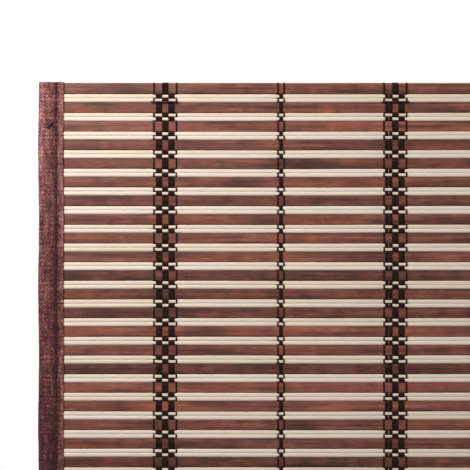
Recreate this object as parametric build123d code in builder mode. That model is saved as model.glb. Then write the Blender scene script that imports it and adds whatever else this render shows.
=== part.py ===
from build123d import *
import os

# A bamboo roll up blind, let down: slats and reeds woven on cotton warps, both edges bound in folded cloth,
# stapled to a wood head batten that carries the cord pulleys, and to a foot batten that it is rolled up on.
# Millimetres. +Z is up and the front faces -Y. The origin is the middle of the head batten's top face.

# Weft rows, from the top: one slat and two reeds, over and over, and one last slat
row_repeats = 84
slat_width = 5.3
slat_thickness = 1.3
reed_diameter = 1.96
reed_bevel = 0.56
row_gap = 0.3
slats_per_slit = 2

# Warps, woven in groups across the width, a wide group at each end and every other one wide
blind_width = 600.0
warp_count = 9
warp_inset = 64.4
wide_warp_width = 12.3
narrow_warp_width = 3.9
warp_thickness = 0.6

# Folded cloth binding along both edges
binding_width = 13.2
binding_thickness = 0.6
binding_fold_radius = 1.2
stitch_inset = 9.4
stitch_groove_width = 0.5
stitch_groove_depth = 0.2
gap_under_binding = 4.0

# Head batten and the two screws that hold it up
batten_depth = 38.0
batten_height = 19.0
batten_bevel = 1.0
mount_screw_radius = 2.5
mount_screw_inset = 25.0

# Foot batten, the core that the mat is rolled up on
foot_depth = 10.0
foot_height = 24.0
foot_round = 3.0

# Staples over the wide warps
staple_wire = 0.7
staple_crown = 14.0
staple_bite = 7.0
staple_row = 1

# Batten pulleys, a single one at the left and a double one at the right
cord_gap = 2.4
pulley_spacing = 300.0
pulley_plate_length = 34.0
pulley_sheet = 1.1
pulley_corner = 2.0
pulley_hole_pitch = 24.0
pulley_hole_radius = 1.5
wheel_radius = 5.0
wheel_width = 4.0
wheel_groove_depth = 1.5
wheel_side_gap = 0.3
cheek_width = 9.0
cheek_drop = 4.2
pin_radius = 1.25
pin_proud = 0.5
pin_running_gap = 0.05

# Places worked out from the sizes above
row_pitch = slat_width + row_gap + 2 * reed_diameter
mat_height = row_repeats * row_pitch + slat_width
mat_length = blind_width - 2 * binding_thickness
mat_top = -warp_thickness
mat_bottom = mat_top - mat_height
mat_middle = (mat_top + mat_bottom) / 2
batten_front = -batten_depth / 2
mat_y = batten_front - warp_thickness - reed_diameter / 2
warp_front = mat_y - reed_diameter / 2 - warp_thickness
foot_bottom = mat_bottom - warp_thickness
mount_screw_spacing = blind_width - 2 * mount_screw_inset
wheel_z =-batten_height - pulley_sheet - cord_gap - wheel_radius

os.makedirs("parts", exist_ok=True)


def finish(builder, name):
    """Label one finished piece and write its file."""
    builder.part.label = name
    export_step(builder.part, f"parts/{name}.step")


def lengthwise(x, y, z):
    """The plane across the blind's width at a point: its own x runs back along +Y and its y runs up."""
    return Plane(origin=(x, y, z), x_dir=(0, 1, 0), z_dir=(1, 0, 0))


def frontal(x, y, z):
    """The plane that faces the front at a point: its own x runs along +X and its y runs up."""
    return Plane(origin=(x, y, z), x_dir=(1, 0, 0), z_dir=(0, -1, 0))


# The mat: one wall of flat slats with the reeds standing out in pairs on both faces, and open slits under slats
def reed_corners(top):
    """Half thickness and height where one reed's facets meet, from its top edge down to the foot of its facets."""
    crown = reed_diameter / 2
    return [
        (crown, top - reed_bevel),
        (crown, top - reed_diameter + reed_bevel),
        (slat_thickness / 2, top - reed_diameter),
    ]


def mat_side():
    """Corners of one face of the mat, from its top edge down."""
    face = slat_thickness / 2
    corners = [(face, mat_top)]
    for index in range(row_repeats):
        reeds_top = mat_top - index * row_pitch - slat_width - row_gap
        corners.append((face, reeds_top))
        corners.extend(reed_corners(reeds_top))
        corners.extend(reed_corners(reeds_top - reed_diameter))
    corners.append((face, mat_bottom))
    return corners


def build_mat():
    side = mat_side()
    front = [(-half, height) for half, height in side]
    back = [(half, height) for half, height in reversed(side)]
    slit_top = mat_top - slat_width
    slit_length = blind_width - 2 * (binding_width - gap_under_binding)
    slits = [
        (0, mat_y, slit_top - row_gap / 2 - index * row_pitch)
        for index in range(0, row_repeats, slats_per_slit)
    ]
    with BuildPart() as mat:
        with BuildSketch(lengthwise(0, mat_y, 0)):
            with BuildLine():
                Polyline(*front, *back, close=True)
            make_face()
        extrude(amount=mat_length / 2, both=True)
        with Locations(*slits):
            Box(slit_length, slat_thickness, row_gap, mode=Mode.SUBTRACT)
    finish(mat, "reed_mat")


# The warps: a flat belt of threads round the mat at each group, lying on the tops of the ridges
def warp_places():
    """Number, place along the width and width of each group of warps."""
    pitch = (blind_width - 2 * warp_inset) / (warp_count - 1)
    places = []
    for index in range(warp_count):
        width = wide_warp_width if index % 2 == 0 else narrow_warp_width
        places.append((index + 1, -blind_width / 2 + warp_inset + index * pitch, width))
    return places


def build_warps():
    for number, x, width in warp_places():
        with BuildPart() as warp:
            with BuildSketch(lengthwise(x, mat_y, mat_middle)):
                Rectangle(reed_diameter + 2 * warp_thickness, mat_height + 2 * warp_thickness)
                Rectangle(reed_diameter, mat_height, mode=Mode.SUBTRACT)
            extrude(amount=width / 2, both=True)
        finish(warp, f"warp_{number}")


# The edge bindings: a strip of cloth folded round the mat's edge and sewn through near its inner hem
def build_binding(side, name):
    outer_half = reed_diameter / 2 + binding_thickness
    edge = side * blind_width / 2
    with BuildPart() as binding:
        with BuildSketch(Plane(origin=(edge, mat_y, foot_bottom), x_dir=(-side, 0, 0), z_dir=(0, 0, 1))) as fold:
            with Locations((binding_width / 2, 0)):
                Rectangle(binding_width, 2 * outer_half)
            fillet(fold.vertices().group_by(Axis.X)[0], binding_fold_radius)
            with Locations(((binding_thickness + binding_width) / 2, 0)):
                Rectangle(binding_width - binding_thickness, reed_diameter, mode=Mode.SUBTRACT)
            with Locations((stitch_inset, outer_half), (stitch_inset, -outer_half)):
                Rectangle(stitch_groove_width, 2 * stitch_groove_depth, mode=Mode.SUBTRACT)
        extrude(amount=-foot_bottom)
    finish(binding, name)


# The battens
def build_head_batten():
    with BuildPart() as batten:
        with BuildSketch(lengthwise(0, 0, -batten_height / 2)):
            Rectangle(batten_depth, batten_height)
        extrude(amount=blind_width / 2, both=True)
        back_edges = batten.edges().filter_by(Axis.X).group_by(Axis.Y)[-1]
        chamfer(back_edges, batten_bevel)
        with BuildSketch(Plane.XY):
            with GridLocations(mount_screw_spacing, 0, 2, 1):
                Circle(mount_screw_radius)
        extrude(amount=-batten_height, mode=Mode.SUBTRACT)
    finish(batten, "head_batten")


def build_foot_batten():
    with BuildPart() as foot:
        with BuildSketch(lengthwise(0, batten_front + foot_depth / 2, foot_bottom + foot_height / 2)):
            Rectangle(foot_depth, foot_height)
        extrude(amount=blind_width / 2, both=True)
        back_edges = foot.edges().filter_by(Axis.X).group_by(Axis.Y)[-1]
        fillet(back_edges, foot_round)
    finish(foot, "foot_batten")


# Staples over the wide warps, with their crowns in a groove between a reed and a slat
def build_staples(groove_z, name):
    leg = batten_front + staple_bite - warp_front + staple_wire
    with BuildPart() as staples:
        for _, x, width in warp_places():
            if width == wide_warp_width:
                middle = Plane(origin=(x, warp_front - staple_wire + leg / 2, groove_z))
                with BuildSketch(middle):
                    Rectangle(staple_crown, leg)
                    with Locations((0, staple_wire)):
                        Rectangle(staple_crown - 2 * staple_wire, leg, mode=Mode.SUBTRACT)
                extrude(amount=staple_wire / 2, both=True)
    finish(staples, name)


# The batten pulleys: a bent steel frame, grooved wheels for the cords and the pin that the wheels turn on
def pulley_channel(wheels):
    """Clear width between a frame's cheeks for so many wheels."""
    return wheels * wheel_width + (wheels + 1) * wheel_side_gap


def build_pulley_frame(name, x, wheels):
    channel = pulley_channel(wheels)
    width = channel + 2 * pulley_sheet
    cheek_height = wheel_radius + cord_gap + cheek_drop
    cheek_middle = -batten_height - pulley_sheet - cheek_height / 2
    with BuildPart() as frame:
        with BuildSketch(Plane(origin=(x, 0, -batten_height))) as plate:
            Rectangle(pulley_plate_length, width)
            chamfer(plate.vertices(), pulley_corner)
            with GridLocations(pulley_hole_pitch, 0, 2, 1):
                Circle(pulley_hole_radius, mode=Mode.SUBTRACT)
        extrude(amount=-pulley_sheet)
        with BuildSketch(frontal(x, 0, cheek_middle)) as cheek:
            Rectangle(cheek_width, cheek_height)
            chamfer(cheek.vertices().group_by(Axis.Y)[0], pulley_corner)
            with Locations((0, wheel_z - cheek_middle)):
                Circle(pin_radius, mode=Mode.SUBTRACT)
        extrude(amount=width / 2, both=True)
        with Locations((x, 0, cheek_middle)):
            Box(cheek_width, channel, cheek_height, mode=Mode.SUBTRACT)
    finish(frame, name)


def build_pulley_wheel(name, x, y):
    rim = wheel_width / 2
    bore = pin_radius + pin_running_gap
    groove = wheel_radius - wheel_groove_depth
    with BuildPart() as wheel:
        with BuildSketch(Plane(origin=(x, y, wheel_z))):
            with BuildLine():
                Polyline((bore, -rim), (wheel_radius, -rim), (groove, 0), (wheel_radius, rim), (bore, rim), close=True)
            make_face()
        revolve(axis=Axis((x, y, wheel_z), (0, 1, 0)))
    finish(wheel, name)


def build_pulley_pin(name, x, wheels):
    with BuildPart() as pin:
        with BuildSketch(frontal(x, 0, wheel_z)):
            Circle(pin_radius)
        extrude(amount=pulley_channel(wheels) / 2 + pulley_sheet + pin_proud, both=True)
    finish(pin, name)


def build_pulleys():
    left = -pulley_spacing / 2
    right = pulley_spacing / 2
    wheel_shift = (wheel_width + wheel_side_gap) / 2
    build_pulley_frame("pulley_frame_left", left, 1)
    build_pulley_pin("pulley_pin_left", left, 1)
    build_pulley_wheel("pulley_wheel_left", left, 0)
    build_pulley_frame("pulley_frame_right", right, 2)
    build_pulley_pin("pulley_pin_right", right, 2)
    build_pulley_wheel("pulley_wheel_right_front", right, -wheel_shift)
    build_pulley_wheel("pulley_wheel_right_back", right, wheel_shift)


build_mat()
build_warps()
build_binding(-1, "edge_binding_left")
build_binding(1, "edge_binding_right")
build_head_batten()
build_foot_batten()
build_staples(mat_top - staple_row * row_pitch, "head_staples")
build_staples(mat_bottom + slat_width + staple_row * row_pitch, "foot_staples")
build_pulleys()
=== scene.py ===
"""The looks of a bamboo roll up blind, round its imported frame.

Everything is in metres in the part's own frame: +Z is up, the front faces -Y and the origin is the middle of
the head batten's top face. The mat's rows and its columns of warps are read from the frame, and every slat,
reed, strand and stitch is bent from a tube that is rolled from a flat grid.
"""

import logging
import math
import random
from dataclasses import dataclass, field
from enum import Enum
from typing import Callable, Iterable

import bmesh
import bpy
from mathutils import Matrix, Vector, noise


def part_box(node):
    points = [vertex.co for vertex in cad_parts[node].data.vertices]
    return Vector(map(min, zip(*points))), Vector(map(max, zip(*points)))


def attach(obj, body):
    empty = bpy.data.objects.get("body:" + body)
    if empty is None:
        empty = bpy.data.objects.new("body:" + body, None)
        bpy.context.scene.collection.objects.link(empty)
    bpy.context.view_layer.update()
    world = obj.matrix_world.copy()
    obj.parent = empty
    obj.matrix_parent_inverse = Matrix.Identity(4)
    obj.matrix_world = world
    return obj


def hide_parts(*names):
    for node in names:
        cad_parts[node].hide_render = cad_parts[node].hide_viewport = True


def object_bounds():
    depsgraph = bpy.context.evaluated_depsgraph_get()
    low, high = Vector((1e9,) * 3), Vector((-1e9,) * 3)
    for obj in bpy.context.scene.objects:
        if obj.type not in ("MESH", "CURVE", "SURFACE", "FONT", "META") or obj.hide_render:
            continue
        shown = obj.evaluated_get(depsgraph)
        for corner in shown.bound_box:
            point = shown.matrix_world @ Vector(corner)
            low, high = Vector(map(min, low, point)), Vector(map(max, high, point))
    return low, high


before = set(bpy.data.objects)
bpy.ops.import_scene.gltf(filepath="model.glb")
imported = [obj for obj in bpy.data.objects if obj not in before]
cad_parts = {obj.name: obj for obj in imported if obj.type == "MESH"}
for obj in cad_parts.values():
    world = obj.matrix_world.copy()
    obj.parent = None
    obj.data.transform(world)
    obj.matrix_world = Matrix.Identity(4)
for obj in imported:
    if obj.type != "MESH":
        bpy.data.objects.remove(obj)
CAD_BOX = [list(corner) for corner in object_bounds()]
MM = 0.001
TEMPLATE_WELD = 1e-4
WELD = 1e-6
QUARTER_TURN = math.pi / 2
WHITE = (1.0, 1.0, 1.0, 1.0)
HANGING_BODY = "blind"
LOG = logging.getLogger("blind")

Colour = tuple[float, float, float, float]
Place = Callable[[float, int], Vector]
Copy = tuple[Place, float]
Route = list[tuple[float, float, float]]
Socket = bpy.types.NodeSocket
Sockets = dict[str, bpy.types.NodeSocket]
Inputs = dict[str | int, object]


def screen(red: float, green: float, blue: float) -> Colour:
    """A colour as a screen shows it, turned into the linear light that the shaders work in.

    Args:
        red: Red from 0 to 255.
        green: Green from 0 to 255.
        blue: Blue from 0 to 255.

    Returns:
        The linear colour, opaque.
    """
    def linear(value: float) -> float:
        """One channel of it."""
        share = value / 255
        return share / 12.92 if share <= 0.04045 else ((share + 0.055) / 1.055) ** 2.4

    return (linear(red), linear(green), linear(blue), 1.0)


def wave(x: float, y: float, z: float = 0.0) -> float:
    """Smooth noise from about -1 to 1 at a point, the same in every run."""
    return noise.noise(Vector((x, y, z)))


def bulge(value: float, exponent: float) -> float:
    """A sine or cosine pushed out towards a square, as a superellipse has it."""
    return math.copysign(abs(value) ** (2 / exponent), value)


def mm(*sizes: float) -> tuple[float, ...]:
    """Sizes in millimetres, turned into metres."""
    return tuple(size * MM for size in sizes)


def hump(distance: float, width: float) -> float:
    """A bell curve: 1 at no distance, about a third at the width and soon nothing past it."""
    return math.exp(-(distance / width) ** 2)


def corners(node: str) -> tuple[Vector, Vector]:
    """The lowest and the highest corner of a CAD node's box."""
    low, high = (Vector(corner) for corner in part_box(node))
    return low, high


@dataclass(frozen=True)
class Ripple:
    """A smooth unevenness: its size, its waves for each metre both ways, and its own lane of the noise."""

    size: float
    along: float
    across: float = 1.0
    lane: float = 0.0

    def at(self, along: float, across: float) -> float:
        """Its value at a place along a piece, and at a place across it or for the piece's number."""
        return self.size * wave(along * self.along, across * self.across, self.lane)


class Slot(Enum):
    """The record's material slots meant for the new pieces, passed along but not applied to them."""

    BAMBOO = "bamboo"
    WARP = "warp_thread"
    CLOTH = "binding_cloth"
    STAPLE = "staple_wire"
    STEEL = "pulley_steel"


class Row(Enum):
    """What a row of the mat is."""

    SLAT = 0
    UPPER_REED = 1
    LOWER_REED = 2


class Lead(Enum):
    """The rows that a strand passes in front of: those with an even number, or those with an odd one."""

    EVEN = 0
    ODD = 1


# Node trees

class Graph:
    """A node tree that is being wired, with a short call for each kind of node that the finishes use."""

    def __init__(self, tree: bpy.types.NodeTree) -> None:
        """Keep the tree."""
        self.tree = tree

    def feed(self, node: bpy.types.Node, inputs: Inputs) -> None:
        """Link outputs to a node's sockets, or set plain values on them.

        Args:
            node: The node.
            inputs: The links or values, by the sockets' names or numbers.
        """
        for key, value in inputs.items():
            if isinstance(value, Socket):
                self.tree.links.new(value, node.inputs[key])
            else:
                node.inputs[key].default_value = value

    def node(self, kind: str, inputs: Inputs | None = None, **settings: object) -> bpy.types.Node:
        """Add a node.

        Args:
            kind: The node's type.
            inputs: Links or values for its sockets, by name or number.
            settings: The node's own properties.

        Returns:
            The node.
        """
        made = self.tree.nodes.new(kind)
        for name, value in settings.items():
            setattr(made, name, value)
        self.feed(made, inputs or {})
        return made

    def math(self, operation: str, first: object, second: object = 0.0) -> Socket:
        """The result of one sum on two values."""
        return self.node("ShaderNodeMath", {0: first, 1: second}, operation=operation).outputs[0]

    def times(self, first: object, second: object) -> Socket:
        """The product of two values."""
        return self.math("MULTIPLY", first, second)

    def add(self, first: object, *others: object) -> Socket:
        """The sum of two or more values."""
        for other in others:
            first = self.math("ADD", first, other)
        return first

    def swing(self, value: object, size: float) -> Socket:
        """A value from 0 to 1 turned into one that swings about nothing, by so much from end to end."""
        return self.times(self.math("SUBTRACT", value, 0.5), size)

    def stretch(self, vector: object, scale: object) -> Socket:
        """Coordinates scaled by so much each way."""
        return self.node("ShaderNodeVectorMath", {0: vector, 1: scale}, operation="MULTIPLY").outputs[0]

    def shift(self, vector: object, step: object) -> Socket:
        """Coordinates moved by so much each way."""
        return self.node("ShaderNodeVectorMath", {0: vector, 1: step}, operation="ADD").outputs[0]

    def join(self, x: object, y: object, z: object) -> Socket:
        """A vector made of three values."""
        return self.node("ShaderNodeCombineXYZ", {0: x, 1: y, 2: z}).outputs[0]

    def split(self, vector: object) -> tuple[Socket, Socket, Socket]:
        """A vector's three values."""
        made = self.node("ShaderNodeSeparateXYZ", {0: vector})
        return made.outputs[0], made.outputs[1], made.outputs[2]

    def mix(self, share: object, first: object, second: object, blend: str = "MIX") -> Socket:
        """Two colours mixed by a share of the second."""
        inputs = {0: share, 6: first, 7: second}
        return self.node("ShaderNodeMix", inputs, data_type="RGBA", blend_type=blend).outputs[2]

    def ramp(self, value: object, stops: list[tuple[float, Colour]]) -> Socket:
        """A colour picked from stops by a value from 0 to 1."""
        made = self.node("ShaderNodeValToRGB", {0: value})
        elements = made.color_ramp.elements
        while len(elements) < len(stops):
            elements.new(1.0)
        for element, (position, colour) in zip(elements, stops):
            element.position = position
            element.color = colour
        return made.outputs["Color"]

    def remap(self, value: object, low: float, high: float, least: float = 0.0, most: float = 1.0) -> Socket:
        """A value moved from one range to another and held within it."""
        inputs = {"Value": value, "From Min": low, "From Max": high, "To Min": least, "To Max": most}
        return self.node("ShaderNodeMapRange", inputs).outputs["Result"]

    def attribute(self, name: str) -> Socket:
        """A piece's own value at each point."""
        return self.node("ShaderNodeAttribute", attribute_name=name).outputs["Fac"]

    def place(self) -> Socket:
        """The point in the part's frame."""
        return self.node("ShaderNodeTexCoord").outputs["Object"]

    def flat(self) -> Socket:
        """The point on the piece's own UV map."""
        return self.node("ShaderNodeTexCoord").outputs["UV"]

    def bump(self, height: object, strength: float, distance: float) -> Socket:
        """The normal that a height gives."""
        inputs = {"Height": height, "Strength": strength, "Distance": distance}
        return self.node("ShaderNodeBump", inputs).outputs["Normal"]


@dataclass(frozen=True)
class Mottle:
    """A soft noise: its waves for each unit of the axes, and the number and strength of its finer layers."""

    waves: tuple[float, float, float]
    detail: float = 2.0
    roughness: float = 0.5

    def over(self, graph: Graph, vector: object) -> Socket:
        """The noise from 0 to 1 over these coordinates."""
        inputs = {"Scale": 1.0, "Detail": self.detail, "Roughness": self.roughness}
        inputs["Vector"] = graph.stretch(vector, self.waves)
        return graph.node("ShaderNodeTexNoise", inputs).outputs["Fac"]


@dataclass(frozen=True)
class Patch:
    """A colour laid over another one where a value lies between two others, up to a share."""

    start: float
    full: float
    share: float
    colour: Colour

    def over(self, graph: Graph, below: object, value: object) -> Socket:
        """The colour below with this one over it."""
        return graph.mix(graph.remap(value, self.start, self.full, 0.0, self.share), below, self.colour)


@dataclass(frozen=True)
class EdgeShade:
    """Painted shade on a slat's or reed's sides where they meet: its colour, how narrow it is and how much
    it takes.
    """

    colour: Colour
    narrowness: float
    share: float

    def over(self, graph: Graph, below: object) -> Socket:
        """The colour below with the painted edge shade over it."""
        near = graph.math("POWER", graph.attribute("rim"), self.narrowness)
        return graph.mix(graph.times(near, self.share), below, self.colour)


@dataclass(frozen=True)
class Effect:
    """A node group with named inputs and outputs, built once and shared by several finishes."""

    title: str
    values: tuple[tuple[str, float], ...]
    outputs: tuple[str, ...]
    wiring: Callable[[Graph, Sockets], Sockets]

    def tree(self) -> bpy.types.NodeTree:
        """The group, made on its first use.

        Returns:
            The shared node tree.
        """
        made = bpy.data.node_groups.get(self.title)
        if made:
            return made
        made = bpy.data.node_groups.new(self.title, "ShaderNodeTree")
        made.interface.new_socket("Vector", in_out="INPUT", socket_type="NodeSocketVector")
        for name, value in self.values:
            socket = made.interface.new_socket(name, in_out="INPUT", socket_type="NodeSocketFloat")
            socket.default_value = value
        for name in self.outputs:
            made.interface.new_socket(name, in_out="OUTPUT", socket_type="NodeSocketFloat")
        graph = Graph(made)
        entry = graph.node("NodeGroupInput")
        leave = graph.node("NodeGroupOutput")
        given = {output.name: output for output in entry.outputs if output.name}
        graph.feed(leave, self.wiring(graph, given))
        return made

    def place(self, graph: Graph, inputs: Inputs) -> Sockets:
        """The outputs, by name, of the group placed in a material with that material's own values."""
        made = graph.node("ShaderNodeGroup", inputs, node_tree=self.tree())
        return {output.name: output for output in made.outputs}


# How far the seed moves the grain each way, and the noises of the grain and of worn metal
SEED_STEP = (7.31, 3.77, 5.13)
GRAIN_NOISES = {
    "Streaks": Mottle((1.0, 1.0, 1.0), 3.0, 0.55),
    "Fibres": Mottle((11.0, 3.2, 3.2), 3.0, 0.65),
    "Patches": Mottle((2.1, 0.3, 0.3)),
}
SCUFF_NOISES = {
    "Clouds": Mottle((260.0, 260.0, 260.0), 3.0, 0.6),
    "Hairs": Mottle((180.0, 2600.0, 2600.0), 2.0, 0.7),
}
LINT_NOISE = Mottle((3.0, 3.0, 3.0))

# The ranges that a noise is spread out from: nearly all of it, or its middle
WHOLE = (0.2, 0.8)
MIDDLE = (0.3, 0.7)


def wire_grain(graph: Graph, given: Sockets) -> Sockets:
    """Grain along X, with streaks, fibres and broad patches, set apart for each piece by its seed."""
    step = graph.stretch(given["Seed"], SEED_STEP)
    scale = graph.join(given["Along"], given["Across"], given["Across"])
    moved = graph.shift(graph.stretch(given["Vector"], scale), step)
    return {name: mottle.over(graph, moved) for name, mottle in GRAIN_NOISES.items()}


def wire_twist(graph: Graph, given: Sockets) -> Sockets:
    """The plies of a twisted thread on its own UV map, u round it and v along it, and the lint on it."""
    around, along, _ = graph.split(given["Vector"])
    turns = graph.times(along, given["Turns"])
    phase = graph.add(graph.times(around, given["Plies"]), turns)
    ply = graph.remap(graph.math("SINE", graph.times(phase, math.tau)), -1.0, 1.0)
    return {"Plies": ply, "Lint": LINT_NOISE.over(graph, graph.join(around, turns, given["Seed"]))}


def wire_scuffs(graph: Graph, given: Sockets) -> Sockets:
    """The dull clouds and fine hairline scratches of handled metal."""
    return {name: mottle.over(graph, given["Vector"]) for name, mottle in SCUFF_NOISES.items()}


GRAIN_VALUES = (("Seed", 0.0), ("Along", 10.0), ("Across", 900.0))
GRAIN = Effect("long_grain", GRAIN_VALUES, tuple(GRAIN_NOISES), wire_grain)
TWIST_VALUES = (("Seed", 0.0), ("Turns", 100.0), ("Plies", 2.0))
TWIST = Effect("twisted_plies", TWIST_VALUES, ("Plies", "Lint"), wire_twist)
SCUFFS = Effect("metal_scuffs", (), tuple(SCUFF_NOISES), wire_scuffs)


def long_grain(graph: Graph, seed: object, along: float, across: float) -> Sockets:
    """The shared grain in the part's frame, with so many waves for each metre along and across a piece."""
    return GRAIN.place(graph, {"Vector": graph.place(), "Seed": seed, "Along": along, "Across": across})


# Finishes

@dataclass(frozen=True)
class Finish:
    """What a surface is made of. Each kind of finish wires its own shader."""

    title: str

    def wire(self, graph: Graph, shader: bpy.types.Node) -> None:
        """Feed the shader. Each finish says how."""
        raise NotImplementedError

    def material(self) -> bpy.types.Material:
        """The material, made on its first use.

        Returns:
            The shared material.
        """
        made = bpy.data.materials.get(self.title)
        if made:
            return made
        made = bpy.data.materials.new(self.title)
        made.use_nodes = True
        self.wire(Graph(made.node_tree), made.node_tree.nodes["Principled BSDF"])
        return made


@dataclass(frozen=True)
class LacqueredBamboo(Finish):
    """Split bamboo, stained brown and lacquered to a satin. Culm joints cross a slat here and there.

    Each grain is given by its step from the slat's seed and its waves for each metre along and across.
    """

    dark: Colour = screen(58, 32, 26)
    brown: Colour = screen(113, 64, 51)
    light: Colour = screen(151, 91, 73)
    stops: tuple[float, float, float] = (0.3, 0.48, 0.68)
    orange: Patch = Patch(0.5, 0.64, 0.55, screen(142, 81, 57))
    rose: Patch = Patch(0.52, 0.66, 0.55, screen(131, 70, 65))
    olive: Patch = Patch(0.54, 0.7, 0.4, screen(96, 72, 61))
    smoke: Patch = Patch(0.42, 0.3, 0.3, screen(58, 32, 26))
    # Painted shade along the slat's top and bottom edges, where the reeds meet it.
    rim: EdgeShade = EdgeShade(screen(44, 30, 22), 4.0, 0.85)
    fine: tuple[float, float, float] = (0.0, 17.0, 540.0)
    broad: tuple[float, float, float] = (3.0, 10.0, 260.0)
    blotches: tuple[float, float, float] = (7.0, 62.0, 480.0)
    slat_values: tuple[float, float] = (0.58, 1.22)
    fibre_depth: float = 0.3
    blotch_depth: float = 0.2
    joint_spacing: float = 0.36
    joint_wander: float = 0.02
    joint_step: float = 13.7
    joint_width: float = 2.4 * MM
    joint_shade: float = 15 * MM
    joint_depth: float = 0.7
    scar_depths: tuple[float, float] = (0.25, 0.8)
    roughness: tuple[float, float] = (0.44, 0.62)
    relief: float = 0.3
    gloss: float = 0.3

    def wire(self, graph: Graph, shader: bpy.types.Node) -> None:
        """Streaks of brown, patches of other browns, painted shade along the edges and a scar at each joint.
        """
        tone = graph.attribute("tone")
        grain, broad, blotch = (
            long_grain(graph, graph.add(tone, step), along, across)
            for step, along, across in (self.fine, self.broad, self.blotches)
        )
        colour = graph.ramp(grain["Streaks"], list(zip(self.stops, (self.dark, self.brown, self.light))))
        colour = self.orange.over(graph, colour, broad["Patches"])
        colour = self.rose.over(graph, colour, grain["Patches"])
        colour = self.olive.over(graph, colour, broad["Streaks"])
        colour = self.smoke.over(graph, colour, grain["Patches"])
        value = graph.add(
            graph.remap(tone, 0.0, 1.0, *self.slat_values),
            graph.remap(grain["Fibres"], *MIDDLE, -self.fibre_depth, self.fibre_depth),
            graph.remap(blotch["Patches"], 0.32, 0.68, -self.blotch_depth, self.blotch_depth),
        )
        shade = graph.node("ShaderNodeHueSaturation", {"Value": value, "Color": colour}).outputs[0]
        joint, scar = self.joints(graph, tone, grain)
        scar = graph.math("MAXIMUM", scar, graph.times(joint, self.joint_depth))
        shade = graph.mix(scar, shade, self.dark)
        graph.feed(shader, {
            "Base Color": self.rim.over(graph, shade),
            "Roughness": graph.remap(grain["Fibres"], *WHOLE, *self.roughness),
            "Normal": graph.bump(graph.add(grain["Fibres"], joint), self.relief, 0.1 * MM),
            "Specular IOR Level": self.gloss,
        })

    def joints(self, graph: Graph, tone: Socket, grain: Sockets) -> tuple[Socket, Socket]:
        """The culm joints that cross the slats, at other places on each slat.

        Args:
            graph: The material's tree.
            tone: The slat's own value.
            grain: The fine grain, which makes them wander and breaks up their scars.

        Returns:
            The joint's line and the scar round it, both from 0 to 1.
        """
        across, _, _ = graph.split(graph.place())
        along = graph.add(across, graph.swing(grain["Streaks"], self.joint_wander))
        steps = graph.math("DIVIDE", along, self.joint_spacing)
        steps = graph.add(steps, graph.times(tone, self.joint_step))
        off = graph.math("ABSOLUTE", graph.math("SUBTRACT", graph.math("FRACT", steps), 0.5))
        line, shade = (
            graph.remap(off, 0.0, width / self.joint_spacing, 1.0, 0.0)
            for width in (self.joint_width, self.joint_shade)
        )
        return line, graph.times(shade, graph.remap(grain["Fibres"], 0.3, 0.6, *self.scar_depths))


@dataclass(frozen=True)
class PeeledReed(Finish):
    """Pale peeled reed, smooth, with faint long fibres and greyer painted shade where it lies on its
    neighbour.
    """

    pale: Colour = screen(242, 226, 211)
    cream: Colour = screen(236, 217, 198)
    straw: Colour = screen(226, 204, 177)
    stops: tuple[float, float, float] = (0.1, 0.5, 0.95)
    # Painted shade, greyer, in the crease where a reed lies on its neighbour.
    rim: EdgeShade = EdgeShade(screen(150, 140, 112), 7.0, 0.5)
    grain: tuple[float, float] = (7.0, 500.0)
    streak_share: float = 0.5
    reed_share: float = 0.45
    roughness: tuple[float, float] = (0.5, 0.65)
    relief: float = 0.03
    gloss: float = 0.25

    def wire(self, graph: Graph, shader: bpy.types.Node) -> None:
        """Cream that drifts towards straw, with painted shade near the sides."""
        tone = graph.attribute("tone")
        grain = long_grain(graph, tone, *self.grain)
        mood = graph.add(
            graph.remap(grain["Streaks"], 0.25, 0.75, 0.0, self.streak_share),
            graph.remap(tone, 0.0, 1.0, 0.0, self.reed_share),
        )
        colour = graph.ramp(mood, list(zip(self.stops, (self.pale, self.cream, self.straw))))
        graph.feed(shader, {
            "Base Color": self.rim.over(graph, colour),
            "Roughness": graph.remap(grain["Fibres"], *WHOLE, *self.roughness),
            "Normal": graph.bump(grain["Fibres"], self.relief, 0.1 * MM),
            "Specular IOR Level": self.gloss,
        })


@dataclass(frozen=True)
class Thread(Finish):
    """Twisted cotton thread."""

    base: Colour = screen(40, 19, 14)
    lint: Patch = Patch(0.45, 0.8, 0.8, screen(74, 42, 33))
    turns: float = 500.0
    plies: float = 2.0
    # How dark the painted shade in the hollows between the plies makes the yarn.
    hollow_shade: float = 0.6

    def wire(self, graph: Graph, shader: bpy.types.Node) -> None:
        """Dark yarn with painted shade in the hollows between its plies, and a little lint."""
        seed = graph.attribute("tone")
        twist = TWIST.place(
            graph, {"Vector": graph.flat(), "Seed": seed, "Turns": self.turns, "Plies": self.plies},
        )
        colour = self.lint.over(graph, self.base, twist["Lint"])
        # Painted shade in the hollows between the plies.
        deep = graph.remap(twist["Plies"], 0.0, 1.0, self.hollow_shade, 1.0)
        shadow = graph.node("ShaderNodeCombineColor", {0: deep, 1: deep, 2: deep}).outputs[0]
        graph.feed(shader, {
            "Base Color": graph.mix(1.0, colour, shadow, "MULTIPLY"),
            "Roughness": 0.85,
            "Sheen Weight": 0.04,
            "Specular IOR Level": 0.12,
            "Normal": graph.bump(graph.add(twist["Plies"], twist["Lint"]), 0.5, 0.15 * MM),
        })


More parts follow.
